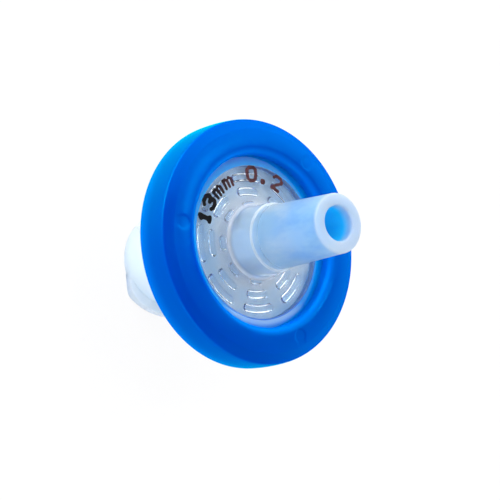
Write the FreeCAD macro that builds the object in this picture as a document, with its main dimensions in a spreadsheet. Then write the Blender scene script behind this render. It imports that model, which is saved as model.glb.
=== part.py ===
"""A 13 mm syringe filter: two clear mouldings clamp a membrane, and a coloured ring is moulded round them.

The frame has its origin at the centre of the inlet rim, and +Z runs along the flow, towards the outlet tip.
Sizes are in millimetres and degrees.
"""

import FreeCAD, Part
import math
import os

import Sketcher

# ---------------------------------------------------------------- sizes

SIZES = [
    # Luer inlet: a socket in a hub, with two helical lugs for a locking collar
    ("hub_radius", 3.35),
    ("hub_length", 8.40),
    ("hub_root_fillet", 0.30),
    ("hub_rim_fillet", 0.15),
    ("socket_mouth_radius", 2.15),
    ("socket_depth", 7.50),
    ("inlet_lumen_radius", 1.00),
    ("lug_count", 2),
    ("lug_tip_radius", 3.90),
    ("lug_root_width", 1.10),
    ("lug_crest_width", 0.60),
    ("lug_root_overlap", 0.30),
    ("lug_lead", 5.00),
    ("lug_start_angle", 192.0),
    ("lug_sweep_angle", 138.0),
    # Radius lost per millimetre of length on both Luer tapers
    ("luer_taper", 0.03),
    # Luer outlet: a boss and a slip tip
    ("boss_radius", 2.35),
    ("boss_draft", 0.06),
    ("boss_height", 2.12),
    ("boss_root_fillet", 0.40),
    ("shoulder_fillet", 0.06),
    ("tip_radius", 2.00),
    ("tip_length", 6.22),
    ("tip_rim_fillet", 0.12),
    ("outlet_lumen_radius", 1.18),
    # The membrane, the flanges that clamp its edge, and the gap between that edge and their lip
    ("membrane_radius", 6.50),
    ("membrane_thickness", 0.15),
    ("membrane_clearance", 0.05),
    ("clamp_width", 1.25),
    ("flange_lip_width", 0.35),
    # The two plates, and the chambers between them and the membrane
    ("inlet_plate_thickness", 0.65),
    ("inlet_chamber_depth", 0.20),
    ("outlet_chamber_depth", 0.20),
    ("outlet_plate_thickness", 0.70),
    # Ribs on the inner face of each plate, in rings and sectors with flow channels between
    ("sector_count", 8),
    ("inner_rib_radius", 2.55),
    ("outer_rib_inset", 0.75),
    ("rib_width", 0.45),
    ("channel_width", 1.00),
    # The ring moulded over both flanges: a crown by the window, a shallow dome, a bevel and the outer wall
    ("ring_wall", 1.50),
    ("ring_overlap", 1.03),
    ("ring_front_rise", 0.88),
    ("ring_back_rise", 0.73),
    ("ring_crown_width", 0.60),
    ("ring_dome_drop", 0.18),
    ("ring_bevel_width", 0.78),
    ("ring_bevel_drop", 0.40),
    ("ring_lip_fillet", 0.45),
    ("ring_crease_fillet", 0.40),
    ("ring_edge_fillet", 0.20),
]

RIB_RINGS = 3

document = FreeCAD.newDocument("SyringeFilter")
sheet = document.addObject("Spreadsheet::Sheet", "Sizes")
for row, (alias, size) in enumerate(SIZES, start=1):
    sheet.set(f"A{row}", alias)
    sheet.set(f"B{row}", str(size))
    sheet.setAlias(f"B{row}", alias)
document.recompute()

# Heights of the stack, from the inlet rim up, as expressions of the sheet
INLET_FACE = "Sizes.hub_length"
INLET_FLOOR = f"{INLET_FACE} + Sizes.inlet_plate_thickness"
MEMBRANE_BOTTOM = f"{INLET_FLOOR} + Sizes.inlet_chamber_depth"
MEMBRANE_TOP = f"{MEMBRANE_BOTTOM} + Sizes.membrane_thickness"
OUTLET_ROOF = f"{MEMBRANE_TOP} + Sizes.outlet_chamber_depth"
OUTLET_FACE = f"{OUTLET_ROOF} + Sizes.outlet_plate_thickness"
BOSS_TOP = f"{OUTLET_FACE} + Sizes.boss_height"
TIP_END = f"{BOSS_TOP} + Sizes.tip_length"

# Radii that follow from others
SOCKET_END_RADIUS = "Sizes.socket_mouth_radius - Sizes.luer_taper * Sizes.socket_depth"
TIP_ROOT_RADIUS = "Sizes.tip_radius + Sizes.luer_taper * Sizes.tip_length"
BOSS_ROOT_RADIUS = "Sizes.boss_radius + Sizes.boss_draft"
CHAMBER_RADIUS = "Sizes.membrane_radius - Sizes.clamp_width"
RECESS_RADIUS = "Sizes.membrane_radius + Sizes.membrane_clearance"
FLANGE_RADIUS = f"{RECESS_RADIUS} + Sizes.flange_lip_width"

# Radii and heights of the ring, which follow the flanges that it wraps
WINDOW_RADIUS = f"{FLANGE_RADIUS} - Sizes.ring_overlap"
CROWN_RADIUS = f"{WINDOW_RADIUS} + Sizes.ring_crown_width"
RING_RADIUS = f"{FLANGE_RADIUS} + Sizes.ring_wall"
CREASE_RADIUS = f"{RING_RADIUS} - Sizes.ring_bevel_width"
FRONT_CROWN = f"{OUTLET_FACE} + Sizes.ring_front_rise"
FRONT_CREASE = f"{FRONT_CROWN} - Sizes.ring_dome_drop"
FRONT_EDGE = f"{FRONT_CREASE} - Sizes.ring_bevel_drop"
BACK_CROWN = f"{INLET_FACE} - Sizes.ring_back_rise"
BACK_CREASE = f"{BACK_CROWN} + Sizes.ring_dome_drop"
BACK_EDGE = f"{BACK_CREASE} + Sizes.ring_bevel_drop"


def value(expression):
    """The present value of an expression of the sheet."""
    found = sheet.evalExpression(expression)
    return float(getattr(found, "Value", found))


# ---------------------------------------------------------------- drawing helpers

ORIGIN = (-1, 1)
HORIZONTAL_AXIS = -1


def new_body(label):
    body = document.addObject("PartDesign::Body", label)
    body.Label = label
    return body


def origin_feature(body, role):
    """One of the body's own origin planes or axes."""
    return next(item for item in body.Origin.OriginFeatures if item.Role == role)


def new_sketch(body, name, role):
    sketch = body.newObject("Sketcher::SketchObject", name)
    sketch.AttachmentSupport = [(origin_feature(body, role), "")]
    sketch.MapMode = "FlatFace"
    return sketch


def hold(sketch, kind, first, second, expression, name):
    """Hold the second point at a signed distance from the first, bound to an expression."""
    index = sketch.addConstraint(Sketcher.Constraint(kind, *first, *second, value(expression)))
    sketch.renameConstraint(index, name)
    sketch.setExpression(f"Constraints.{name}", expression)


def draw_section(sketch, corners):
    """A closed outline of straight lines through corners, each a radius and a height as expressions."""
    points = [FreeCAD.Vector(value(radius), value(height), 0) for radius, height in corners]
    for start, end in zip(points, points[1:] + points[:1]):
        sketch.addGeometry(Part.LineSegment(start, end), False)
    count = len(corners)
    for line in range(count):
        sketch.addConstraint(Sketcher.Constraint("Coincident", line, 2, (line + 1) % count, 1))
    for line, (radius, height) in enumerate(corners):
        hold(sketch, "DistanceX", ORIGIN, (line, 1), radius, f"corner_{line}_radius")
        if height == "0":
            sketch.addConstraint(Sketcher.Constraint("PointOnObject", line, 1, HORIZONTAL_AXIS))
        else:
            hold(sketch, "DistanceY", ORIGIN, (line, 1), height, f"corner_{line}_height")


def turn_section(body, kind, name, corners):
    """A full turn of a section about the flow axis, as a PartDesign Revolution or Groove."""
    section = new_sketch(body, f"{name}Section", "XZ_Plane")
    draw_section(section, corners)
    turn = body.newObject(f"PartDesign::{kind}", name)
    turn.Profile = section
    turn.ReferenceAxis = (origin_feature(body, "Z_Axis"), [""])
    turn.Angle = 360
    document.recompute()


def round_edges(body, name, size, circles):
    """Fillet the circular edges with these radii and heights, given as expressions."""
    base = body.Tip
    wanted = [(value(radius), value(height)) for radius, height in circles]
    edges = []
    for index, edge in enumerate(base.Shape.Edges, start=1):
        if not isinstance(edge.Curve, Part.Circle):
            continue
        for radius, height in wanted:
            same_radius = abs(edge.Curve.Radius - radius) < 1e-4
            same_height = abs(edge.Curve.Center.z - height) < 1e-4
            if same_radius and same_height:
                edges.append(f"Edge{index}")
    if len(edges) < len(wanted):
        raise RuntimeError(f"{name}: {len(edges)} edges found for {len(wanted)} circles")
    fillet = body.newObject("PartDesign::Fillet", name)
    fillet.Base = (base, edges)
    fillet.setExpression("Radius", size)
    document.recompute()


def polar_copies(body, name, feature, count):
    """Copies of a feature, evenly spaced round the flow axis."""
    pattern = body.newObject("PartDesign::PolarPattern", name)
    pattern.Originals = [feature]
    pattern.Axis = (origin_feature(body, "Z_Axis"), [""])
    pattern.Angle = 360
    pattern.setExpression("Occurrences", count)
    body.Tip = pattern
    document.recompute()


# ---------------------------------------------------------------- ribs

SECTOR_HALF_ANGLE = "180 / Sizes.sector_count"
OUTER_RIB_RADIUS = f"{CHAMBER_RADIUS} - Sizes.outer_rib_inset"
RIB_PITCH = f"({OUTER_RIB_RADIUS} - Sizes.inner_rib_radius) / {RIB_RINGS - 1}"


def draw_rib(sketch, ring):
    """One curved rib with round ends, centred on the sketch's X axis, clear of the channels beside it."""
    centre_line = f"(Sizes.inner_rib_radius + {ring} * {RIB_PITCH})"
    end_clearance = f"asin((Sizes.rib_width + Sizes.channel_width) / (2 * {centre_line}))"
    reach = f"({SECTOR_HALF_ANGLE} * 1deg - {end_clearance})"
    middle = value(centre_line)
    half_width = value("Sizes.rib_width / 2")
    half_angle = math.radians(value(reach))
    origin = FreeCAD.Vector(0, 0, 0)
    up = FreeCAD.Vector(0, 0, 1)

    def arc(centre, radius, start, end):
        return sketch.addGeometry(Part.ArcOfCircle(Part.Circle(centre, up, radius), start, end), False)

    def end_centre(side):
        return FreeCAD.Vector(middle * math.cos(half_angle), side * middle * math.sin(half_angle), 0)

    outer = arc(origin, middle + half_width, -half_angle, half_angle)
    inner = arc(origin, middle - half_width, -half_angle, half_angle)
    left = arc(end_centre(1), half_width, half_angle, half_angle + math.pi)
    right = arc(end_centre(-1), half_width, -half_angle - math.pi, -half_angle)

    for side in (outer, inner):
        sketch.addConstraint(Sketcher.Constraint("Coincident", side, 3, *ORIGIN))
    tangencies = ((outer, 2, left, 1), (left, 2, inner, 2), (inner, 1, right, 1), (right, 2, outer, 1))
    for tangency in tangencies:
        sketch.addConstraint(Sketcher.Constraint("Tangent", *tangency))

    def bind(constraint, expression, name):
        index = sketch.addConstraint(constraint)
        sketch.renameConstraint(index, name)
        sketch.setExpression(f"Constraints.{name}", expression)

    outer_radius = f"{centre_line} + Sizes.rib_width / 2"
    inner_radius = f"{centre_line} - Sizes.rib_width / 2"
    end_height = f"{centre_line} * sin({reach})"
    bind(Sketcher.Constraint("Radius", outer, value(outer_radius)), outer_radius, f"rib_{ring}_outer")
    bind(Sketcher.Constraint("Radius", inner, value(inner_radius)), inner_radius, f"rib_{ring}_inner")
    hold(sketch, "DistanceY", ORIGIN, (left, 3), end_height, f"rib_{ring}_left")
    hold(sketch, "DistanceY", (right, 3), ORIGIN, end_height, f"rib_{ring}_right")


def add_ribs(body, root_height, depth, upward):
    """The rings of ribs on the inner face of a plate, standing out as far as the membrane."""
    sketch = new_sketch(body, f"{body.Name}RibOutlines", "XY_Plane")
    sketch.setExpression("AttachmentOffset.Base.z", root_height)
    for ring in range(RIB_RINGS):
        draw_rib(sketch, ring)
    document.recompute()
    ribs = body.newObject("PartDesign::Pad", f"{body.Name}Ribs")
    ribs.Profile = sketch
    ribs.Reversed = not upward
    ribs.setExpression("Length", depth)
    document.recompute()
    polar_copies(body, f"{body.Name}RibSectors", ribs, "Sizes.sector_count")


# ---------------------------------------------------------------- the four pieces


def make_inlet_housing():
    """The inlet plate, its clamping flange and the Luer lock hub, moulded as one."""
    body = new_body("inlet_housing")
    turn_section(body, "Revolution", "InletShell", [
        ("Sizes.socket_mouth_radius", "0"),
        ("Sizes.hub_radius", "0"),
        ("Sizes.hub_radius", INLET_FACE),
        (FLANGE_RADIUS, INLET_FACE),
        (FLANGE_RADIUS, MEMBRANE_BOTTOM),
        (CHAMBER_RADIUS, MEMBRANE_BOTTOM),
        (CHAMBER_RADIUS, INLET_FLOOR),
        ("Sizes.inlet_lumen_radius", INLET_FLOOR),
        ("Sizes.inlet_lumen_radius", "Sizes.socket_depth"),
        (SOCKET_END_RADIUS, "Sizes.socket_depth"),
    ])
    round_edges(body, "HubRoot", "Sizes.hub_root_fillet", [("Sizes.hub_radius", INLET_FACE)])
    hub_rims = [("Sizes.hub_radius", "0"), ("Sizes.socket_mouth_radius", "0")]
    round_edges(body, "HubRims", "Sizes.hub_rim_fillet", hub_rims)
    add_ribs(body, INLET_FLOOR, "Sizes.inlet_chamber_depth", upward=True)
    add_lugs(body)
    return body


def add_lugs(body):
    """The helical lugs at the hub's rim, right-handed, cut off flush with the rim."""
    section = new_sketch(body, "LugSection", "XZ_Plane")
    flow_axis = FreeCAD.Vector(0, 1, 0)
    section.AttachmentOffset = FreeCAD.Placement(FreeCAD.Vector(), FreeCAD.Rotation(flow_axis, 0))
    section.setExpression("AttachmentOffset.Rotation.Angle", "Sizes.lug_start_angle")
    lug_root = "Sizes.hub_radius - Sizes.lug_root_overlap"
    draw_section(section, [
        (lug_root, "-Sizes.lug_root_width / 2"),
        ("Sizes.lug_tip_radius", "-Sizes.lug_crest_width / 2"),
        ("Sizes.lug_tip_radius", "Sizes.lug_crest_width / 2"),
        (lug_root, "Sizes.lug_root_width / 2"),
    ])
    lug = body.newObject("PartDesign::AdditiveHelix", "Lug")
    lug.Profile = section
    lug.ReferenceAxis = (origin_feature(body, "Z_Axis"), [""])
    lug.Mode = "pitch-height-angle"
    lug.setExpression("Pitch", "Sizes.lug_lead")
    lug.setExpression("Height", "Sizes.lug_lead * Sizes.lug_sweep_angle / 360")
    document.recompute()
    polar_copies(body, "Lugs", lug, "Sizes.lug_count")

    uncut_volume = body.Shape.Volume
    turn_section(body, "Groove", "RimTrim", [
        ("Sizes.inlet_lumen_radius", "0"),
        ("Sizes.lug_tip_radius + Sizes.hub_radius", "0"),
        ("Sizes.lug_tip_radius + Sizes.hub_radius", "-Sizes.hub_length"),
        ("Sizes.inlet_lumen_radius", "-Sizes.hub_length"),
    ])
    if body.Shape.Volume >= uncut_volume:
        raise RuntimeError("the lugs were not cut flush with the rim")


def make_outlet_housing():
    """The outlet plate, its clamping flange, the boss and the Luer slip tip, moulded as one."""
    body = new_body("outlet_housing")
    turn_section(body, "Revolution", "OutletShell", [
        ("Sizes.outlet_lumen_radius", OUTLET_ROOF),
        (CHAMBER_RADIUS, OUTLET_ROOF),
        (CHAMBER_RADIUS, MEMBRANE_TOP),
        (RECESS_RADIUS, MEMBRANE_TOP),
        (RECESS_RADIUS, MEMBRANE_BOTTOM),
        (FLANGE_RADIUS, MEMBRANE_BOTTOM),
        (FLANGE_RADIUS, OUTLET_FACE),
        (BOSS_ROOT_RADIUS, OUTLET_FACE),
        ("Sizes.boss_radius", BOSS_TOP),
        (TIP_ROOT_RADIUS, BOSS_TOP),
        ("Sizes.tip_radius", TIP_END),
        ("Sizes.outlet_lumen_radius", TIP_END),
    ])
    round_edges(body, "BossRoot", "Sizes.boss_root_fillet", [(BOSS_ROOT_RADIUS, OUTLET_FACE)])
    round_edges(body, "Shoulder", "Sizes.shoulder_fillet", [("Sizes.boss_radius", BOSS_TOP)])
    tip_rims = [("Sizes.tip_radius", TIP_END), ("Sizes.outlet_lumen_radius", TIP_END)]
    round_edges(body, "TipRims", "Sizes.tip_rim_fillet", tip_rims)
    add_ribs(body, OUTLET_ROOF, "Sizes.outlet_chamber_depth", upward=False)
    return body


def make_membrane():
    """The filter disc, held at its edge between the two flanges."""
    body = new_body("membrane")
    outline = new_sketch(body, "MembraneOutline", "XY_Plane")
    outline.setExpression("AttachmentOffset.Base.z", MEMBRANE_BOTTOM)
    circle = Part.Circle(FreeCAD.Vector(), FreeCAD.Vector(0, 0, 1), value("Sizes.membrane_radius"))
    outline.addGeometry(circle, False)
    outline.addConstraint(Sketcher.Constraint("Coincident", 0, 3, *ORIGIN))
    outline.addConstraint(Sketcher.Constraint("Radius", 0, circle.Radius))
    outline.renameConstraint(1, "edge_radius")
    outline.setExpression("Constraints.edge_radius", "Sizes.membrane_radius")
    disc = body.newObject("PartDesign::Pad", "MembraneDisc")
    disc.Profile = outline
    disc.setExpression("Length", "Sizes.membrane_thickness")
    document.recompute()
    return body


def make_overmould_ring():
    """The ring that wraps both flanges and holds them together."""
    body = new_body("overmould_ring")
    turn_section(body, "Revolution", "RingWrap", [
        (WINDOW_RADIUS, OUTLET_FACE),
        (FLANGE_RADIUS, OUTLET_FACE),
        (FLANGE_RADIUS, INLET_FACE),
        (WINDOW_RADIUS, INLET_FACE),
        (WINDOW_RADIUS, BACK_CROWN),
        (CROWN_RADIUS, BACK_CROWN),
        (CREASE_RADIUS, BACK_CREASE),
        (RING_RADIUS, BACK_EDGE),
        (RING_RADIUS, FRONT_EDGE),
        (CREASE_RADIUS, FRONT_CREASE),
        (CROWN_RADIUS, FRONT_CROWN),
        (WINDOW_RADIUS, FRONT_CROWN),
    ])
    lips = [(WINDOW_RADIUS, FRONT_CROWN), (WINDOW_RADIUS, BACK_CROWN)]
    creases = [(CREASE_RADIUS, FRONT_CREASE), (CREASE_RADIUS, BACK_CREASE)]
    edges = [(RING_RADIUS, FRONT_EDGE), (RING_RADIUS, BACK_EDGE)]
    round_edges(body, "RingLips", "Sizes.ring_lip_fillet", lips)
    round_edges(body, "RingCreases", "Sizes.ring_crease_fillet", creases)
    round_edges(body, "RingEdges", "Sizes.ring_edge_fillet", edges)
    return body


# ---------------------------------------------------------------- build, check and write

PIECES = [make_inlet_housing(), make_outlet_housing(), make_membrane(), make_overmould_ring()]
document.recompute()

for item in document.Objects:
    if "Invalid" in item.State or "Error" in item.State:
        raise RuntimeError(f"{item.Name} failed: {item.State}")

os.makedirs("parts", exist_ok=True)
for piece in PIECES:
    shape = piece.Shape
    if shape.isNull() or not shape.isValid() or len(shape.Solids) != 1:
        raise RuntimeError(f"{piece.Label} is not one valid solid")
for piece in PIECES:
    piece.Shape.exportStep(f"parts/{piece.Label}.step")
    box = piece.Shape.optimalBoundingBox()
    spans = f"z {box.ZMin:.3f} to {box.ZMax:.3f}, x to {box.XMax:.3f}"
    print(f"{piece.Label}: {piece.Shape.Volume:.3f} mm3, {spans}")
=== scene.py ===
"""A syringe filter: two clear mouldings, a white membrane between them and a blue ring round their rims."""

import math

import bmesh
import bpy
from mathutils import Matrix, Vector, noise


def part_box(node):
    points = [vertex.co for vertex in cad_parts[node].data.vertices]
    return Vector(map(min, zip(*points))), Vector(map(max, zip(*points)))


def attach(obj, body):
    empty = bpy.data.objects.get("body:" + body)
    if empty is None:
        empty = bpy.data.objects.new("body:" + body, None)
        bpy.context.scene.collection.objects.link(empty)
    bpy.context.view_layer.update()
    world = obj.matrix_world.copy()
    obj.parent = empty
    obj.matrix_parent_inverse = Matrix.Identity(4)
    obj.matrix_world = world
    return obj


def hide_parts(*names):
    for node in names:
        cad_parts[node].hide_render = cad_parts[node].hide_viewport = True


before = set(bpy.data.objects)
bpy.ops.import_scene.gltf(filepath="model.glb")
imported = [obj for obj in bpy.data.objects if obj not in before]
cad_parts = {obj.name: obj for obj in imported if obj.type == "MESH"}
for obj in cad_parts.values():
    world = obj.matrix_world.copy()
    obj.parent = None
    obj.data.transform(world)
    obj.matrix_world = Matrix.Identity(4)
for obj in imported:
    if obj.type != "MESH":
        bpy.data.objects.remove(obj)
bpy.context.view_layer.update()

MM = 0.001
TURN = 2 * math.pi
SEGMENTS = 512
DISC_SEGMENTS = 256

# ---------------------------------------------------------------- sizes in millimetres, in the CAD's frame


def heights(node):
    """The lowest and highest z of a CAD node, in millimetres."""
    low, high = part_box(node)
    return low[2] / MM, high[2] / MM


def reach(node):
    """The largest radius about the flow axis that stays in the box of a CAD node, in millimetres."""
    low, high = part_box(node)
    return min(high[0], high[1], -low[0], -low[1]) / MM


RIM, CLAMP_LOW = heights("inlet_housing")
TIP_END = heights("outlet_housing")[1]
MEMBRANE_LOW, MEMBRANE_HIGH = heights("membrane")
RING_LOW, RING_HIGH = heights("overmould_ring")
FLANGE = reach("outlet_housing")
MEMBRANE = reach("membrane")
RING = reach("overmould_ring")

GAP = 0.01
CHAMBER = 5.25
CHAMBER_DEPTH = 0.20
RECESS = 6.55
WINDOW = 5.87

INLET_FACE = 8.40
INLET_FLOOR = 9.05
INLET_LUMEN = 1.00
SOCKET_MOUTH = 2.15
SOCKET_FLOOR = 1.925
SOCKET_END = 7.50

OUTLET_ROOF = 9.60
OUTLET_FACE = 10.30
OUTLET_LUMEN = 1.18
BOSS_FOOT = 2.41
BOSS = 2.35
BOSS_TOP = 12.42
TIP_FOOT = 2.187
TIP = 2.00

# ---------------------------------------------------------------- mesh helpers


def arc_points(corner, before, after, radius, steps):
    """Points of a fillet at a corner of an outline, between the directions to its two neighbours."""
    corner, before, after = Vector(corner), Vector(before), Vector(after)
    inward = (before - corner).normalized()
    outward = (after - corner).normalized()
    half = inward.angle(outward) / 2
    back = min(radius / math.tan(half), (before - corner).length * 0.49, (after - corner).length * 0.49)
    radius = back * math.tan(half)
    centre = corner + (inward + outward).normalized() * (radius / math.sin(half))
    start = corner + inward * back - centre
    sweep = math.pi - 2 * half
    side = 1 if start.x * (corner - centre).y - start.y * (corner - centre).x > 0 else -1
    points = []
    for step in range(steps + 1):
        turn = side * sweep * step / steps
        x = start.x * math.cos(turn) - start.y * math.sin(turn)
        y = start.x * math.sin(turn) + start.y * math.cos(turn)
        points.append((centre.x + x, centre.y + y))
    return points


def outline(corners):
    """Loops of a closed outline. A corner is a radius, a height, a fillet, the steps of that fillet, and
    what follows it: a number of equal runs to the next corner, or a list of loops of its own."""
    count = len(corners)
    rounded = []
    for index, (r, z, fillet, steps, following) in enumerate(corners):
        before = corners[index - 1][:2]
        after = corners[(index + 1) % count][:2]
        points = arc_points((r, z), before, after, fillet, steps) if fillet else [(r, z)]
        rounded.append((points, following))
    loops = []
    for index, (points, following) in enumerate(rounded):
        loops += points
        if isinstance(following, list):
            loops += following
            continue
        start = Vector(points[-1])
        end = Vector(rounded[(index + 1) % count][0][0])
        loops += [tuple(start.lerp(end, run / following)) for run in range(1, following)]
    return loops


def finish_mesh(name, bm, sharp_degrees=38):
    """The bmesh as a smooth-shaded object, in metres."""
    bmesh.ops.recalc_face_normals(bm, faces=bm.faces)
    mesh = bpy.data.meshes.new(name)
    bmesh.ops.scale(bm, vec=(MM, MM, MM), verts=bm.verts)
    bm.to_mesh(mesh)
    bm.free()
    mesh.shade_smooth()
    mesh.set_sharp_from_angle(angle=math.radians(sharp_degrees))
    piece = bpy.data.objects.new(name, mesh)
    bpy.context.scene.collection.objects.link(piece)
    return piece


def lathe(name, loops, shape=None, segments=SEGMENTS):
    """A closed solid of revolution through loops of (radius, height). shape moves a point by its angle."""
    bm = bmesh.new()
    rings = []
    for r, z in loops:
        if r == 0:
            rings.append([bm.verts.new((0, 0, z))] * segments)
            continue
        ring = []
        for step in range(segments):
            angle = TURN * step / segments
            radius, height = shape(angle, r, z) if shape else (r, z)
            ring.append(bm.verts.new((radius * math.cos(angle), radius * math.sin(angle), height)))
        rings.append(ring)
    for first, second in zip(rings, rings[1:] + rings[:1]):
        for step in range(segments):
            following = (step + 1) % segments
            corners = [first[step], first[following], second[following], second[step]]
            distinct = list(dict.fromkeys(corners))
            if len(distinct) > 2:
                bm.faces.new(distinct)
    return finish_mesh(name, bm)


def smooth_step(low, high, value):
    """0 below the first value, 1 above the second, with smooth ends between them."""
    share = min(max((value - low) / (high - low), 0), 1)
    return share * share * (3 - 2 * share)


# ---------------------------------------------------------------- ribs on the inner faces of the plates

SECTORS = 8
RIB_WIDTH = 0.45
CHANNEL_WIDTH = 1.00
RIB_RADII = (2.55, 3.525, 4.50)
RIB_EDGE = 0.09
FACE_INNER_EDGE = 0.15
FACE_OUTER_EDGE = 0.08
LOOP_PITCH = 0.12


def rib_mask(angle, radius):
    """1 on a rib, 0 off it, with a soft edge: curved ribs with round ends, in rings and sectors."""
    sector = TURN / SECTORS
    around = abs((angle + sector / 2) % sector - sector / 2)
    best = -1.0
    for middle in RIB_RADII:
        half_angle = sector / 2 - math.asin((RIB_WIDTH + CHANNEL_WIDTH) / (2 * middle))
        if around <= half_angle:
            away = abs(radius - middle)
        else:
            turned = around - half_angle
            away = math.hypot(radius * math.cos(turned) - middle, radius * math.sin(turned))
        best = max(best, RIB_WIDTH / 2 - away)
    return smooth_step(-RIB_EDGE, RIB_EDGE, best)


def rib_loops(height, lumen):
    """Loops across a ribbed face, closer together where a rib's sides are."""
    radii = {lumen + FACE_INNER_EDGE, CHAMBER - FACE_OUTER_EDGE}
    for middle in RIB_RADII:
        radii.add(middle)
        for side in (-1, 1):
            for offset in (-0.10, -0.06, -0.02, 0.02, 0.06, 0.10):
                radii.add(middle + side * (RIB_WIDTH / 2 + offset))
    ordered = sorted(radii)
    dense = [ordered[0]]
    for radius in ordered[1:]:
        parts = max(1, round((radius - dense[-1]) / LOOP_PITCH))
        start = dense[-1]
        dense += [start + (radius - start) * part / parts for part in range(1, parts + 1)]
    return [(radius, height) for radius in dense]


def on_ribbed_face(r, z, face, lumen):
    """True for a point of a ribbed face, between the fillets at its two edges."""
    return abs(z - face) < 1e-6 and lumen + FACE_INNER_EDGE - 0.05 < r < CHAMBER - FACE_OUTER_EDGE + 0.01


# ---------------------------------------------------------------- outlet moulding


def make_outlet_shell():
    """Outlet plate with ribs inside, boss, shoulder and slip tip."""
    lumen = OUTLET_LUMEN
    underside = MEMBRANE_HIGH
    flange_low = CLAMP_LOW + GAP / 2
    outer = FLANGE - GAP
    profile = outline([
        (lumen, OUTLET_ROOF, 0.04, 2, rib_loops(OUTLET_ROOF, lumen)),
        (CHAMBER, OUTLET_ROOF, 0.06, 3, 2),
        (CHAMBER, underside, 0.05, 3, 6),
        (RECESS, underside, 0, 1, 2),
        (RECESS, flange_low, 0, 1, 1),
        (outer, flange_low, 0.04, 2, 4),
        (outer, OUTLET_FACE, 0.05, 3, 20),
        (BOSS_FOOT, OUTLET_FACE, 0.40, 10, 10),
        (BOSS, BOSS_TOP, 0.06, 5, 1),
        (TIP_FOOT, BOSS_TOP, 0.05, 3, 20),
        (TIP, TIP_END, 0.12, 6, 4),
        (lumen, TIP_END, 0.12, 6, 20),
    ])

    def ribbed(angle, r, z):
        if on_ribbed_face(r, z, OUTLET_ROOF, lumen):
            return r, z - (CHAMBER_DEPTH - GAP) * rib_mask(angle, r)
        return r, z

    return lathe("outlet_shell", profile, ribbed)


# ---------------------------------------------------------------- inlet moulding

HUB = 3.35
HUB_FILLET = 0.15
LUG_TIP = 3.90
LUG_LEAD = 5.00
LUG_START = math.radians(192)
LUG_SWEEP = math.radians(138)
LUG_OFFSETS = (-0.46, -0.30, 0.30, 0.46)
LUG_RISE = 0.20
LUG_FALL = 0.94
LINE_GAP = 0.02


def lug_loop(angle, corner):
    """Radius and height of one edge line of the two helical lugs, at an angle round the hub."""
    turned = (angle - LUG_START) % math.pi
    along = turned / LUG_SWEEP
    middle = LUG_LEAD * min(turned, LUG_SWEEP) / TURN
    if along > 1:
        gap_share = (turned - LUG_SWEEP) / (math.pi - LUG_SWEEP)
        middle *= 1 - smooth_step(0, 1, gap_share)
    ends = smooth_step(0, LUG_RISE, along) * (1 - smooth_step(LUG_FALL, 1.0, along))
    crest = corner in (1, 2)
    radius = HUB + (LUG_TIP - HUB) * ends if crest else HUB
    rim_edge = HUB_FILLET + 0.01 if radius <= HUB else 0.0
    return radius, max(middle + LUG_OFFSETS[corner], rim_edge + LINE_GAP * corner)


def make_inlet_shell():
    """Inlet plate with ribs inside, and the Luer lock hub with its lugs. In the outline, a radius of -1
    stands for an edge line of the lugs, and the height beside it says which of the four it is."""
    lumen = INLET_LUMEN
    face = CLAMP_LOW - GAP / 2
    outer = FLANGE - GAP
    lug_lines = [(-1, corner) for corner in range(len(LUG_OFFSETS))]
    hub_wall = [(HUB, 2.6 + 0.6 * step) for step in range(9)]
    profile = outline([
        (SOCKET_MOUTH, RIM, HUB_FILLET, 5, 4),
        (HUB, RIM, HUB_FILLET, 5, lug_lines + hub_wall),
        (HUB, INLET_FACE, 0.30, 8, 10),
        (outer, INLET_FACE, 0.05, 3, 6),
        (outer, face, 0.04, 2, 4),
        (CHAMBER, face, 0.05, 3, 2),
        (CHAMBER, INLET_FLOOR, 0.06, 3, rib_loops(INLET_FLOOR, lumen)[::-1]),
        (lumen, INLET_FLOOR, 0.06, 3, 6),
        (lumen, SOCKET_END, 0.05, 3, 3),
        (SOCKET_FLOOR, SOCKET_END, 0.10, 4, 20),
    ])

    def shaped(angle, r, z):
        if r < 0:
            return lug_loop(angle, z)
        if on_ribbed_face(r, z, INLET_FLOOR, lumen):
            return r, z + (CHAMBER_DEPTH - GAP) * rib_mask(angle, r)
        return r, z

    return lathe("inlet_shell", profile, shaped)


# ---------------------------------------------------------------- membrane and ring


def make_filter_disc():
    """The membrane, a hair thinner than its CAD solid."""
    low = MEMBRANE_LOW + GAP / 2
    high = MEMBRANE_HIGH - GAP / 2
    radii = [MEMBRANE * step / 24 for step in range(25)]
    profile = [(r, high) for r in radii] + [(r, low) for r in reversed(radii)]
    return lathe("filter_disc", profile, segments=DISC_SEGMENTS)


BACK_CREASE = 7.85
WALL_LOW = 8.25
WALL_HIGH = 10.60
FRONT_CREASE = 11.00
WALL_CROWN = 0.06
CREST = 6.45
CREASE = 7.62
CREASE_DROP = 0.18
DOME_EDGE = 7.3
LIP_DEPTH = 0.45
EJECTOR_ANGLES = tuple(math.radians(degrees) for degrees in (50, 170, 290))
EJECTOR_RADIUS = 6.95
EJECTOR_SIZE = 0.48
EJECTOR_DEPTH = 0.030


def wall_loops():
    """Loops of the ring's outer wall, which swells a little towards its middle."""
    shares = [step / 24 for step in range(2, 23)]
    height = WALL_HIGH - WALL_LOW
    return [(RING - WALL_CROWN * (2 * share - 1) ** 2, WALL_LOW + height * share) for share in shares]


def dome_drop(r):
    """How far the dome lies below its crest."""
    return CREASE_DROP * ((r - CREST) / (CREASE - CREST)) ** 2


def dome_loops():
    """Radius and drop below the ring's highest point, from near the crease over the dome and down the lip."""
    dome = [DOME_EDGE - 0.05 * step for step in range(1, 17)]
    loops = [(r, dome_drop(r)) for r in dome]
    for step in range(13):
        turn = math.pi / 2 * step / 12
        loops.append((CREST - (CREST - WINDOW) * math.sin(turn), LIP_DEPTH * (1 - math.cos(turn))))
    return loops


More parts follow.
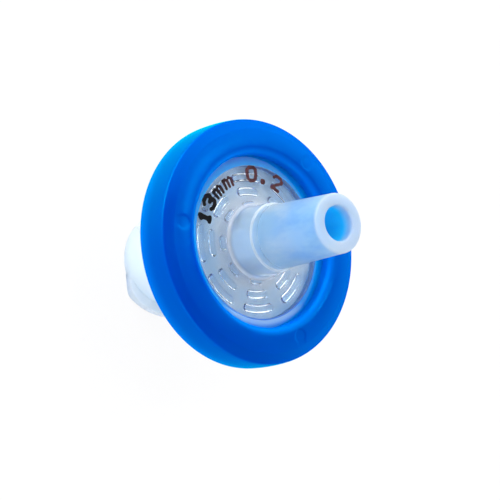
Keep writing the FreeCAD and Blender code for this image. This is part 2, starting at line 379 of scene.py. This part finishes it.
def make_seal_ring():
    """The blue ring: lip by the window, shallow dome, crease, bevel and wall, and the same at the back."""
    edge_drop = dome_drop(DOME_EDGE)
    front = OUTLET_FACE + GAP
    back = INLET_FACE - GAP
    profile = outline([
        (WINDOW, front, 0, 1, 4),
        (FLANGE, front, 0.03, 2, 10),
        (FLANGE, back, 0.03, 2, 4),
        (WINDOW, back, 0, 1, [(r, RING_LOW + drop) for r, drop in reversed(dome_loops())]),
        (DOME_EDGE, RING_LOW + edge_drop, 0, 1, 1),
        (CREASE, BACK_CREASE, 0.40, 8, 4),
        (RING - WALL_CROWN, WALL_LOW, 0.20, 8, wall_loops()),
        (RING - WALL_CROWN, WALL_HIGH, 0.20, 8, 4),
        (CREASE, FRONT_CREASE, 0.40, 8, 1),
        (DOME_EDGE, RING_HIGH - edge_drop, 0, 1, [(r, RING_HIGH - drop) for r, drop in dome_loops()]),
    ])

    def marked(angle, r, z):
        """The front's ejector marks: three shallow round dimples."""
        if z < RING_HIGH - 0.3 or not 6.3 < r < CREASE - 0.02:
            return r, z
        for middle in EJECTOR_ANGLES:
            across = r * math.sin(angle - middle)
            along = r * math.cos(angle - middle) - EJECTOR_RADIUS
            inside = EJECTOR_SIZE - math.hypot(across, along)
            z -= EJECTOR_DEPTH * smooth_step(-0.05, 0.05, inside)
        return r, z

    return lathe("seal_ring", profile, marked)


# ---------------------------------------------------------------- ink-jet size mark on the outlet plate

GLYPHS = {
    "0": (".###.", "#...#", "#...#", "#...#", "#...#", "#...#", ".###."),
    "1": ("..#..", ".##..", "..#..", "..#..", "..#..", "..#..", ".###."),
    "2": (".###.", "#...#", "....#", "...#.", "..#..", ".#...", "#####"),
    "3": (".###.", "#...#", "....#", "..##.", "....#", "#...#", ".###."),
    "m": (".....", ".....", "##.#.", "#.#.#", "#.#.#", "#.#.#", "#.#.#"),
    ".": (".....", ".....", ".....", ".....", ".....", ".##..", ".##.."),
}
MARK = "13mm 0.2"
MARK_START = math.radians(159)
MARK_PITCH = math.radians(14.1)
MARK_RADIUS = 4.63
DOT_PITCH = (0.180, 0.150)
DOT_SPREAD = 0.140
DOT_SHRINK = 0.004
FINE_STROKE = 0.022
DOT_SHAKE = 0.03
DOT_SEED = 5
INK_EDGE = 0.36
INK_CELL = 0.026
INK_CELLS = (44, 48)
INK_LOW = OUTLET_FACE + 0.001
INK_THICKNESS = 0.006


def ink_level(dots, spread, x, y):
    """Above 0 where the ink of a character lies: drops that run together."""
    ink = sum(math.exp(-((x - dot_x) ** 2 + (y - dot_y) ** 2) / spread**2) for dot_x, dot_y in dots)
    return ink - INK_EDGE


def add_glyph(bm, character, angle, number):
    """One character as a flat closed solid, its outline traced round the drops of ink."""
    dots = []
    for row, line in enumerate(GLYPHS[character]):
        for column, mark in enumerate(line):
            if mark != "#":
                continue
            shake = noise.noise_vector(Vector((column * 1.7, row * 2.3, number * 5.1)))
            x = (column - 2) * DOT_PITCH[0] + shake.x * DOT_SHAKE
            y = (3 - row) * DOT_PITCH[1] + shake.y * DOT_SHAKE
            dots.append((x, y))
    cell = INK_CELL
    columns, rows = INK_CELLS
    left = -columns * cell / 2
    bottom = -rows * cell / 2
    spread = DOT_SPREAD - DOT_SHRINK * number - (FINE_STROKE if character == "m" else 0)
    level = [
        [ink_level(dots, spread, left + i * cell, bottom + j * cell) for j in range(rows + 1)]
        for i in range(columns + 1)
    ]
    corners = {}

    def corner(x, y):
        """The lower and the upper vertex of a place in the character, bent round the flow axis."""
        turn = angle - x / MARK_RADIUS
        radius = MARK_RADIUS + y
        place = (radius * math.cos(turn), radius * math.sin(turn))
        return (
            bm.verts.new((*place, INK_LOW)),
            bm.verts.new((*place, INK_LOW + INK_THICKNESS)),
        )

    def at(i, j):
        if (i, j) not in corners:
            corners[i, j] = corner(left + i * cell, bottom + j * cell)
        return corners[i, j]

    def between(first, second):
        """The corner where the ink's edge crosses a side of a cell."""
        key = tuple(sorted((first, second)))
        if key not in corners:
            (i, j), (k, m) = key
            share = level[i][j] / (level[i][j] - level[k][m])
            share = min(max(share, 0.05), 0.95)
            x = left + (i + (k - i) * share) * cell
            y = bottom + (j + (m - j) * share) * cell
            corners[key] = corner(x, y)
        return corners[key]

    sides = {}
    for i in range(columns):
        for j in range(rows):
            square = [(i, j), (i + 1, j), (i + 1, j + 1), (i, j + 1)]
            loop = []
            for place, following in zip(square, square[1:] + square[:1]):
                inside = level[place[0]][place[1]] > 0
                if inside:
                    loop.append(at(*place))
                if inside != (level[following[0]][following[1]] > 0):
                    loop.append(between(place, following))
            if len(loop) < 3:
                continue
            bm.faces.new([low for low, _ in reversed(loop)])
            bm.faces.new([high for _, high in loop])
            for first, second in zip(loop, loop[1:] + loop[:1]):
                if sides.pop((second, first), None) is None:
                    sides[first, second] = True
    for first, second in sides:
        bm.faces.new([first[0], second[0], second[1], first[1]])


def make_size_mark():
    """The line of print. The seed keeps the shake of its drops the same in every run."""
    noise.seed_set(DOT_SEED)
    bm = bmesh.new()
    for number, character in enumerate(MARK):
        if character != " ":
            add_glyph(bm, character, MARK_START - number * MARK_PITCH, number)
    return finish_mesh("size_mark", bm)


# ---------------------------------------------------------------- materials


class Nodes:
    """A short way to write a node tree."""

    def __init__(self, tree):
        self.tree = tree
        tree.nodes.clear()

    def add(self, kind, inputs=None, **settings):
        """A new node. inputs gives an input a plain value or a socket to link."""
        node = self.tree.nodes.new(kind)
        for key, setting in settings.items():
            setattr(node, key, setting)
        for key, given in (inputs or {}).items():
            if isinstance(given, bpy.types.NodeSocket):
                self.tree.links.new(given, node.inputs[key])
            else:
                node.inputs[key].default_value = given
        return node

    def maths(self, operation, *given):
        """The result of one operation on plain values or sockets."""
        return self.add("ShaderNodeMath", dict(enumerate(given)), operation=operation).outputs[0]


def new_material(name):
    material = bpy.data.materials.new(name)
    material.use_nodes = True
    return material, Nodes(material.node_tree)


def set_surface(nodes, shader):
    nodes.add("ShaderNodeOutputMaterial", {"Surface": shader.outputs[0]})


def ramp(nodes, value, low, high, to_low, to_high):
    """A value carried from one range to another, with smooth ends."""
    node = nodes.add(
        "ShaderNodeMapRange",
        {"Value": value, "From Min": low, "From Max": high, "To Min": to_low, "To Max": to_high},
        interpolation_type="SMOOTHSTEP",
    )
    return node.outputs["Result"]


def fade(nodes, length, low, high, to_low=0, to_high=1):
    """A ramp along a length, from one place to another in millimetres."""
    return ramp(nodes, length, low * MM, high * MM, to_low, to_high)


def product(nodes, first, *others):
    for other in others:
        first = nodes.maths("MULTIPLY", first, other)
    return first


def band(nodes, length, low, high, edge):
    """1 between two places in millimetres, 0 outside them, with soft edges."""
    rise = fade(nodes, length, low - edge, low)
    fall = fade(nodes, length, high, high + edge, 1, 0)
    return product(nodes, rise, fall)


def cloud(nodes, place, scale, detail, roughness):
    """Soft noise from 0 to 1. scale is how many patches fit in a metre."""
    inputs = {"Vector": place, "Scale": scale, "Detail": detail, "Roughness": roughness}
    return nodes.add("ShaderNodeTexNoise", inputs).outputs["Fac"]


def blend_colours(nodes, share, first, second):
    """A colour between two, each a plain colour or a socket."""
    first, second = (
        given if isinstance(given, bpy.types.NodeSocket) else (*given, 1) for given in (first, second)
    )
    mix = nodes.add("ShaderNodeMix", {"Factor": share, 6: first, 7: second}, data_type="RGBA")
    return mix.outputs[2]


def coordinate(nodes, place, axis):
    return nodes.add("ShaderNodeSeparateXYZ", {"Vector": place}).outputs[axis]


def object_place(nodes):
    """Object coordinates, the height and the distance from the flow axis, in metres."""
    place = nodes.add("ShaderNodeTexCoord").outputs["Object"]
    split = nodes.add("ShaderNodeSeparateXYZ", {"Vector": place}).outputs
    level = nodes.add("ShaderNodeCombineXYZ", {"X": split["X"], "Y": split["Y"]})
    away = nodes.add("ShaderNodeVectorMath", {0: level.outputs["Vector"]}, operation="LENGTH")
    return place, split["Z"], away.outputs["Value"]


def clear_polypropylene(name, look):
    """Natural polypropylene: a cloudy clear plastic. look gives its colour, haze, transmission and share of
    subsurface light from place, height and distance from the axis."""
    material, nodes = new_material(name)
    place, height, away = object_place(nodes)
    colour, haze, transmission, milkiness = look(nodes, place, height, away)
    centred = nodes.maths("SUBTRACT", cloud(nodes, place, 950, 2, 0.5), 0.5)
    waves = product(nodes, centred, fade(nodes, away, 5.0, 5.4, 1, 0))
    rippled = nodes.add("ShaderNodeBump", {"Height": waves, "Strength": 0.5, "Distance": 0.05 * MM})
    grain = cloud(nodes, place, 5200, 3, 0.6)
    bump = nodes.add(
        "ShaderNodeBump",
        {"Height": grain, "Strength": 0.12, "Distance": 0.02 * MM, "Normal": rippled.outputs[0]},
    )
    shader = nodes.add(
        "ShaderNodeBsdfPrincipled",
        {
            "Base Color": colour,
            "Roughness": haze,
            "IOR": 1.49,
            "Transmission Weight": transmission,
            "Subsurface Weight": milkiness,
            "Subsurface Radius": (1.0, 1.0, 1.0),
            "Subsurface Scale": 1.8 * MM,
            "Normal": bump.outputs[0],
        },
    )
    set_surface(nodes, shader)
    return material


def tube_colour(nodes, place, height):
    """The tube's plastic: wisps drawn out along it, and bluer towards the tip."""
    stretch = {0: place, 1: (1.0, 1.0, 0.5)}
    drawn_out = nodes.add("ShaderNodeVectorMath", stretch, operation="MULTIPLY").outputs[0]
    wisps = ramp(nodes, cloud(nodes, drawn_out, 380, 4, 0.6), 0.38, 0.62, 0, 1)
    by_shoulder = blend_colours(nodes, wisps, (0.40, 0.64, 0.86), (0.62, 0.78, 0.90))
    by_tip = blend_colours(nodes, wisps, (0.22, 0.47, 0.80), (0.42, 0.64, 0.87))
    return blend_colours(nodes, fade(nodes, height, 13.5, 17.0), by_shoulder, by_tip)


def plate_colour(nodes, place, height, away):
    """The plate's plastic: mottled, painted whiter by the boss as painted light, and painted bluer in the
    ribs below it as painted shade.
    """
    patches = ramp(nodes, cloud(nodes, place, 800, 2, 0.5), 0.36, 0.64, 0, 1)
    mottled = blend_colours(nodes, patches, (0.65, 0.84, 1.0), (0.85, 0.94, 1.0))
    # Painted light: whiter near the boss, standing in for a bright cloud there and lifting the shade that the
    # boss and tube cast on the plate.
    painted_light_by_boss = fade(nodes, away, 2.7, 4.2, 0.85, 0)
    face = blend_colours(nodes, painted_light_by_boss, mottled, (0.95, 0.98, 1.0))
    # Painted shade: the rib faces below the plate are painted bluer and a little darker than the plastic
    # between them.
    return blend_colours(nodes, fade(nodes, height, 9.45, 9.58), (0.64, 0.82, 1.0), face)


def margin_painted_light(nodes, place, away):
    """The plate's margin, in painted light and shade: painted bluer towards the ring for the blue light that
    comes through it, painted paler on the -Y side, with a painted dark shade line inside it.
    """
    aside = coordinate(nodes, place, "Y")
    # Painted light: bluer towards the ring, for the blue light that reaches the margin through the ring in
    # the ring's shade.
    outward = blend_colours(nodes, fade(nodes, away, 5.30, 5.75), (0.0, 0.36, 1.0), (0.0, 0.26, 0.90))
    # Painted light: the -Y side of the margin is paler, where more light falls on it.
    painted_lit_side = product(nodes, fade(nodes, aside, -5.0, -4.0, 1, 0), fade(nodes, away, 5.40, 5.80, 1, 0))
    lit = blend_colours(nodes, painted_lit_side, outward, (0.34, 0.58, 1.0))
    # Painted shade: a dark blue line at the chamber's edge, strongest on the -Y side and gone towards +Y.
    line = product(nodes, fade(nodes, aside, -3.0, 1.0, 1, 0), fade(nodes, away, 5.27, 5.34, 1, 0))
    return blend_colours(nodes, line, lit, (0.0, 0.17, 0.66))


def painted_edge_highlights(nodes, height):
    """Painted highlights: how white the plastic is painted at the boss's foot and at its shoulder, standing
    in for the glints of their fillets, and 0 elsewhere.
    """
    at_foot = product(nodes, fade(nodes, height, 10.32, 10.36), fade(nodes, height, 10.40, 10.72, 1, 0))
    at_shoulder = band(nodes, height, 12.39, 12.44, 0.04)
    return nodes.maths("MULTIPLY_ADD", at_shoulder, 0.35, product(nodes, at_foot, 0.65))


def inside_bore(nodes, height, away):
    """1 on the upper part of the bore's wall, and 0 off it and near the tip's mouth."""
    by_axis = fade(nodes, away, 1.19, 1.25, 1, 0)
    from_mouth = fade(nodes, height, 17.6, 18.4, 1, 0)
    from_foot = fade(nodes, height, 14.6, 15.8)
    return product(nodes, by_axis, from_mouth, from_foot)


def outlet_look(nodes, place, height, away):
    """Pale and clear over the plate, with painted shade that makes the ribs below it bluer, cloudy up the
    tube, painted blue light by the ring and a painted reflection of the ring in the bore, and painted
    highlights that make it whitest at the boss's foot and shoulder."""
    plate = plate_colour(nodes, place, height, away)
    boss = blend_colours(nodes, fade(nodes, height, 10.32, 10.55), plate, (0.60, 0.79, 1.0))
    tube = tube_colour(nodes, place, height)
    up_tube = blend_colours(nodes, fade(nodes, height, 12.2, 13.0), boss, tube)
    # Painted highlights at the boss's foot and shoulder: whiter and less clear there.
    edge_highlights = painted_edge_highlights(nodes, height)
    highlighted = blend_colours(nodes, edge_highlights, up_tube, (0.94, 0.98, 1.0))
    tipped = blend_colours(nodes, fade(nodes, height, 18.3, 18.6), highlighted, (0.55, 0.69, 0.86))
    # Painted shade: the sides of the ribs are painted half way to a bluer, darker tint, so that their dark
    # edges read blue.
    shaded_rib_sides = band(nodes, height, 9.44, 9.56, 0.02)
    ribbed = blend_colours(nodes, product(nodes, shaded_rib_sides, 0.5), tipped, (0.55, 0.78, 1.0))

    # Painted light: the chamber's wall at the rim lies in shade and is painted a light cyan; above it the
    # margin takes its painted light and shade.
    below = fade(nodes, height, 9.62, 9.75, 1, 0)
    on_rim = fade(nodes, away, 5.17, 5.245)
    painted_rim_light = blend_colours(nodes, below, margin_painted_light(nodes, place, away), (0.25, 0.68, 1.0))
    by_rim = blend_colours(nodes, on_rim, ribbed, painted_rim_light)
    # Painted reflection: the bore's wall is painted a deep blue and made opaque, standing in for the blue
    # ring seen in it through the clear plastic.
    painted_bore_blue = inside_bore(nodes, height, away)
    colour = blend_colours(nodes, painted_bore_blue, by_rim, (0.03, 0.62, 1.0))

    haze = fade(nodes, height, 10.3, 14.0, 0.07, 0.32)
    transmission = product(
        nodes,
        fade(nodes, height, 10.34, 10.8, 0.975, 0.66),
        fade(nodes, height, 12.4, 14.4, 1.0, 0.85),
        fade(nodes, away, 2.9, 3.7, 0.945, 1.0),
        ramp(nodes, on_rim, 0, 1, 1.0, 0.30),
        ramp(nodes, product(nodes, on_rim, below), 0, 1, 1.0, 0.2),
        ramp(nodes, edge_highlights, 0, 1, 1.0, 0.6),
        nodes.maths("SUBTRACT", 1.0, painted_bore_blue),
    )
    milkiness = fade(nodes, height, 9.62, 9.75, 0.0, 0.7)
    return colour, haze, transmission, milkiness


def inlet_look(nodes, place, height, away):
    """Pale, and milkier in the hub than in the plate."""
    hub = blend_colours(nodes, cloud(nodes, place, 330, 2, 0.5), (0.68, 0.83, 1.0), (0.80, 0.90, 1.0))
    colour = blend_colours(nodes, fade(nodes, height, 0.2, 2.0), (0.72, 0.86, 1.0), hub)
    haze = fade(nodes, height, 7.0, 9.0, 0.30, 0.10)
    transmission = fade(nodes, height, 7.0, 9.0, 0.28, 0.88)
    return colour, haze, transmission, 0.7


def blue_polypropylene():
    """Saturated blue moulding, a little translucent: satin, finely grained, and varied slowly by its flow.
    Its colour carries painted light: the gloss of its outer wall is painted more cyan on the +Y side, the
    wall is painted lighter towards its back edge, and the lip by the window lighter."""
    material, nodes = new_material("blue_ring_plastic")
    place, height, away = object_place(nodes)
    flow = cloud(nodes, place, 260, 3, 0.5)
    face = blend_colours(nodes, flow, (0.0, 0.011, 0.31), (0.0, 0.018, 0.37))
    # Painted light: the outer wall is painted lighter and more cyan towards its back edge and deeper blue
    # towards its front edge.
    wall_with_painted_light = blend_colours(nodes, fade(nodes, height, 8.3, 9.5), (0.0, 0.082, 0.56), (0.0, 0.023, 0.39))
    on_wall = fade(nodes, away, 8.25, 8.35)
    by_wall = blend_colours(nodes, on_wall, face, wall_with_painted_light)
    # Painted light: lighter blue by the window, lifting the shade in the recess there.
    painted_light_by_window = fade(nodes, away, 5.95, 6.40, 1, 0)
    colour = blend_colours(nodes, painted_light_by_window, by_wall, (0.0, 0.115, 0.64))
    grain = cloud(nodes, place, 4200, 3, 0.65)
    bump = nodes.add("ShaderNodeBump", {"Height": grain, "Strength": 0.15, "Distance": 0.02 * MM})
    body = nodes.add(
        "ShaderNodeBsdfPrincipled",
        {
            "Base Color": colour,
            "Specular IOR Level": 0.0,
            "Subsurface Weight": 0.6,
            "Subsurface Radius": (0.1, 0.6, 2.0),
            "Subsurface Scale": 0.8 * MM,
            "Normal": bump.outputs[0],
        },
    )
    # Painted reflection: the wall's gloss turns from blue on the -Y side to cyan on the +Y side.
    aside = fade(nodes, coordinate(nodes, place, "Y"), -2, 5)
    painted_wall_sheen = blend_colours(nodes, aside, (0.0, 0.56, 1.0), (0.0, 1.0, 1.0))
    sheen = blend_colours(nodes, on_wall, (0.0, 0.45, 1.0), painted_wall_sheen)
    roughness = ramp(nodes, flow, 0.3, 0.7, 0.28, 0.36)
    gloss = nodes.add(
        "ShaderNodeBsdfAnisotropic", {"Color": sheen, "Roughness": roughness, "Normal": bump.outputs[0]}
    )
    mirrored = nodes.add("ShaderNodeFresnel", {"IOR": 2.05, "Normal": bump.outputs[0]}).outputs[0]
    shader = nodes.add("ShaderNodeMixShader", {0: mirrored, 1: body.outputs[0], 2: gloss.outputs[0]})
    set_surface(nodes, shader)
    return material


def porous_membrane():
    """White filter film with a fine porous surface, painted blue where the ring is close, for the blue light
    that reaches it through the ring.
    """
    material, nodes = new_material("membrane_film")
    place, _, away = object_place(nodes)
    shade = cloud(nodes, place, 900, 4, 0.6)
    film = blend_colours(nodes, shade, (0.86, 0.91, 0.98), (0.92, 0.96, 1.0))
    # Painted light: blue from the ring at the film's edge.
    colour = blend_colours(nodes, fade(nodes, away, 5.24, 5.40), film, (0.01, 0.48, 1.0))
    pores = nodes.add("ShaderNodeTexVoronoi", {"Vector": place, "Scale": 9000}).outputs["Distance"]
    bump = nodes.add("ShaderNodeBump", {"Height": pores, "Strength": 0.3, "Distance": 0.01 * MM})
    shader = nodes.add(
        "ShaderNodeBsdfPrincipled",
        {"Base Color": colour, "Roughness": 0.85, "Normal": bump.outputs[0]},
    )
    set_surface(nodes, shader)
    return material


def printed_ink():
    """Ink that lies thick and black at the start of the line, and thinner and browner towards its end."""
    material, nodes = new_material("printed_ink")
    place = nodes.add("ShaderNodeTexCoord").outputs["Object"]
    thinner = fade(nodes, coordinate(nodes, place, "X"), -3.6, -0.8)
    uneven = ramp(nodes, cloud(nodes, place, 4200, 3, 0.7), 0.35, 0.65, 0.4, 1.0)
    share = product(nodes, thinner, uneven)
    colour = blend_colours(nodes, share, (0.001, 0.001, 0.002), (0.100, 0.034, 0.040))
    shader = nodes.add(
        "ShaderNodeBsdfPrincipled", {"Base Color": colour, "Roughness": 0.6, "Specular IOR Level": 0.1}
    )
    set_surface(nodes, shader)
    return material


# ---------------------------------------------------------------- the pieces on the frame


def place_piece(piece, material, node=None):
    """Gives a piece its material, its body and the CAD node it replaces."""
    piece.data.materials.append(material)
    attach(piece, "root")
    if node:
        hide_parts(node)


OUTLET_PLASTIC = clear_polypropylene("outlet_plastic", outlet_look)
INLET_PLASTIC = clear_polypropylene("inlet_plastic", inlet_look)

place_piece(make_outlet_shell(), OUTLET_PLASTIC, "outlet_housing")
place_piece(make_inlet_shell(), INLET_PLASTIC, "inlet_housing")
place_piece(make_filter_disc(), porous_membrane(), "membrane")
place_piece(make_seal_ring(), blue_polypropylene(), "overmould_ring")
place_piece(make_size_mark(), printed_ink())

# ---------------------------------------------------------------- floor, light and camera

FLOOR_HALF = 1.2
FLOOR_GLOW = 0.90


def make_floor():
    """A white floor: as bright as paper to the camera, and it keeps the object's soft shadow."""
    mesh = bpy.data.meshes.new("floor")
    corners = [(x * FLOOR_HALF, y * FLOOR_HALF, 0) for x, y in ((-1, -1), (1, -1), (1, 1), (-1, 1))]
    mesh.from_pydata(corners, [], [(0, 1, 2, 3)])
    floor = bpy.data.objects.new("floor", mesh)
    bpy.context.scene.collection.objects.link(floor)
    material, nodes = new_material("white_floor")
    path = nodes.add("ShaderNodeLightPath").outputs
    seen = nodes.maths("MAXIMUM", path["Is Camera Ray"], path["Is Glossy Ray"])
    seen = nodes.maths("MAXIMUM", seen, path["Is Transmission Ray"])
    share = product(nodes, seen, FLOOR_GLOW)
    diffuse = nodes.add("ShaderNodeBsdfDiffuse", {"Color": (0.9, 0.9, 0.9, 1)})
    glow = nodes.add("ShaderNodeEmission", {"Color": (1, 1, 1, 1), "Strength": 1.0})
    mixed = nodes.add("ShaderNodeMixShader", {0: share, 1: diffuse.outputs[0], 2: glow.outputs[0]})
    set_surface(nodes, mixed)
    floor.data.materials.append(material)


TENT_LEVEL = 0.95
# The direction each light comes from, its half width in degrees, and what it adds to the level.
TENT_LIGHTS = (
    ((-0.62, 0.78, 0.02), 52, 3.4),
    ((0.45, 0.75, 0.45), 50, 1.6),
    ((0.96, -0.02, 0.10), 50, 0.9),
    ((-0.88, -0.45, 0.00), 50, 0.55),
    ((-0.40, -0.90, 0.05), 50, 1.1),
    ((-0.30, -0.20, 0.93), 55, -0.45),
    ((0.65, 0.11, 0.75), 14, -0.35),
    ((-0.05, 0.12, 0.99), 6, 12.0),
    ((0.50, 0.25, 0.83), 6, 12.0),
    ((-0.45, 0.60, 0.66), 6, 10.0),
)


def light_world():
    """A white tent: wide lights, two lobes that dim it from above, and three small bright lights."""
    world = bpy.data.worlds.new("tent")
    bpy.context.scene.world = world
    world.use_nodes = True
    nodes = Nodes(world.node_tree)
    direction = nodes.add("ShaderNodeTexCoord").outputs["Generated"]
    level = TENT_LEVEL
    for towards, width, strength in TENT_LIGHTS:
        dot = nodes.add(
            "ShaderNodeVectorMath", {0: direction, 1: Vector(towards).normalized()}, operation="DOT_PRODUCT"
        ).outputs["Value"]
        lobe = ramp(nodes, dot, math.cos(math.radians(width)), 1.0, 0.0, strength)
        level = nodes.maths("ADD", lobe, level)
    background = nodes.add("ShaderNodeBackground", {"Color": (1, 1, 1, 1), "Strength": level})
    nodes.add("ShaderNodeOutputWorld", {"Surface": background.outputs[0]})


def add_camera():
    """A long lens above the outlet side, with the flow axis lying across the picture."""
    camera = bpy.data.cameras.new("camera")
    camera.sensor_width = 36
    camera.lens = 216
    camera.clip_start = 0.01
    camera.clip_end = 10
    right = Vector((0.76055, -0.09429, 0.64239)).normalized()
    back = Vector((-0.64928, -0.11046, 0.75249)).normalized()
    up = back.cross(right)
    turned = Matrix((right, up, back)).transposed().to_4x4()
    turned.translation = Vector((-0.13124, -0.02277, 0.16166))
    eye = bpy.data.objects.new("camera", camera)
    eye.matrix_world = turned
    bpy.context.scene.collection.objects.link(eye)
    bpy.context.scene.camera = eye


make_floor()
light_world()
add_camera()

bpy.context.scene.view_settings.view_transform = "Standard"

# Light that is caught in the clear plate needs many bounces to come out again.
LIGHT_BOUNCES = 24
for kind in ("max_bounces", "diffuse_bounces", "glossy_bounces", "transmission_bounces"):
    setattr(bpy.context.scene.cycles, kind, LIGHT_BOUNCES)
